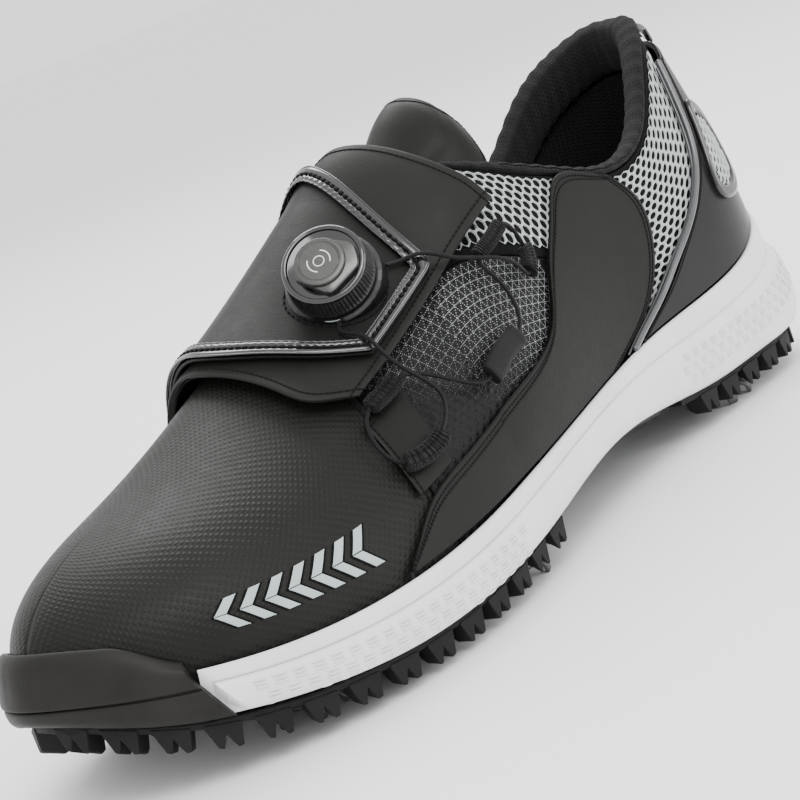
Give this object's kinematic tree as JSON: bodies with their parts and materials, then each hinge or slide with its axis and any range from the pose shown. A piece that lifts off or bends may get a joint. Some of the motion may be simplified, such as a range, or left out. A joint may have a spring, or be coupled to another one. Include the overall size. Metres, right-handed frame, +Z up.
{
  "type": "golf shoe",
  "caption": "Left golf shoe with a two-tone sole on removable soft spikes, a lasted leather and mesh upper, and an instep strap tightened by a lace dial.",
  "frame": {"origin": "on the ground, at the middle of the shoe's footprint box", "axes": "+Z up, toe towards -Y, heel towards +Y, lateral (outer) side towards +X and medial side towards -X, so it is a left shoe"},
  "size_m": [0.1056, 0.3022, 0.1208],
  "materials": {
    "leather_black": "matte black synthetic leather",
    "patent_trim": "glossy smoky black moulded film",
    "mesh_silver": "light grey net over black cloth",
    "mesh_dark": "black cloth with a small silver lattice",
    "knit_black": "black padded knit",
    "eva_white": "white moulded foam",
    "board_tan": "fibre board",
    "rubber_black": "matte black rubber",
    "spike_smoke": "smoky translucent soft plastic",
    "plastic_black": "black moulded plastic",
    "plastic_gunmetal": "brushed grey lacquer",
    "steel_pin": "plain steel",
    "webbing_black": "woven black tape",
    "wire_black": "coated lace wire"
  },
  "bodies": {
    "shoe": {"collar_mesh_lateral": "mesh_silver", "collar_mesh_medial": "mesh_silver", "collar_padding": "knit_black", "footbed": "knit_black", "heel_badge_frame_lateral": "patent_trim", "heel_badge_frame_medial": "patent_trim", "heel_badge_mesh_lateral": "mesh_silver", "heel_badge_mesh_medial": "mesh_silver", "heel_counter": "plastic_black", "heel_mesh": "mesh_silver", "heel_panel": "leather_black", "heel_strip": "patent_trim", "heel_tab": "patent_trim", "heel_trim_lateral": "patent_trim", "heel_trim_medial": "patent_trim", "lace_guide_quarter_lower": "webbing_black", "lace_guide_quarter_middle": "webbing_black", "lace_guide_quarter_upper": "webbing_black", "lace_wire": "wire_black", "lasting_board": "board_tan", "lining": "knit_black", "midfoot_shank": "plastic_black", "midsole": "eva_white", "outsole_forefoot": "rubber_black", "outsole_heel": "rubber_black", "quarter_lateral": "leather_black", "quarter_medial": "leather_black", "side_mesh_lateral": "mesh_dark", "side_mesh_medial": "mesh_dark", "spike_1": "spike_smoke", "spike_2": "spike_smoke", "spike_3": "spike_smoke", "spike_4": "spike_smoke", "spike_5": "spike_smoke", "spike_6": "spike_smoke", "spike_7": "spike_smoke", "spike_receptacle_1": "plastic_black", "spike_receptacle_2": "plastic_black", "spike_receptacle_3": "plastic_black", "spike_receptacle_4": "plastic_black", "spike_receptacle_5": "plastic_black", "spike_receptacle_6": "plastic_black", "spike_receptacle_7": "plastic_black", "throat_patch": "leather_black", "toe_bumper": "rubber_black", "toe_puff": "plastic_black", "vamp": "leather_black"},
    "strap": {"strap": "leather_black", "strap_patch": "leather_black", "patch_trim": "patent_trim", "lace_guide_strap_upper": "webbing_black", "lace_guide_strap_lower": "webbing_black", "dial_base": "plastic_black", "dial_axle": "steel_pin"},
    "spool": {"dial_spool": "plastic_black", "dial_pawl_disc": "plastic_black"},
    "knob": {"dial_knob": "plastic_black", "knob_cap_plate": "plastic_gunmetal", "badge_disc": "plastic_gunmetal"},
    "tongue": {"tongue": "leather_black"}
  },
  "joints": [
    {"name": "strap_open", "type": "hinge", "parent": "shoe", "child": "strap", "pos_m": [-0.04691, -0.0255, 0.0346], "axis": [-0.1934, -0.9672, -0.1648], "range_deg": [0, 25], "deforming": ["lace_wire"]},
    {"name": "spool_turn", "type": "hinge", "parent": "strap", "child": "spool", "pos_m": [0.01385, -0.03092, 0.08852], "axis": [0.4587, -0.6183, 0.6382], "continuous": true},
    {"name": "knob_lift", "type": "slide", "parent": "spool", "child": "knob", "axis": [0.4587, -0.6183, 0.6382], "range_m": [0, 0.002]},
    {"name": "tongue_tilt", "type": "hinge", "parent": "shoe", "child": "tongue", "pos_m": [-0.00831, -0.0145, 0.086], "axis": [1, 0, 0], "range_deg": [0, 5]}
  ],
  "couplings": [
    {"joint": "tongue_tilt", "follows": "strap_open", "ratio": 0.2}
  ]
}
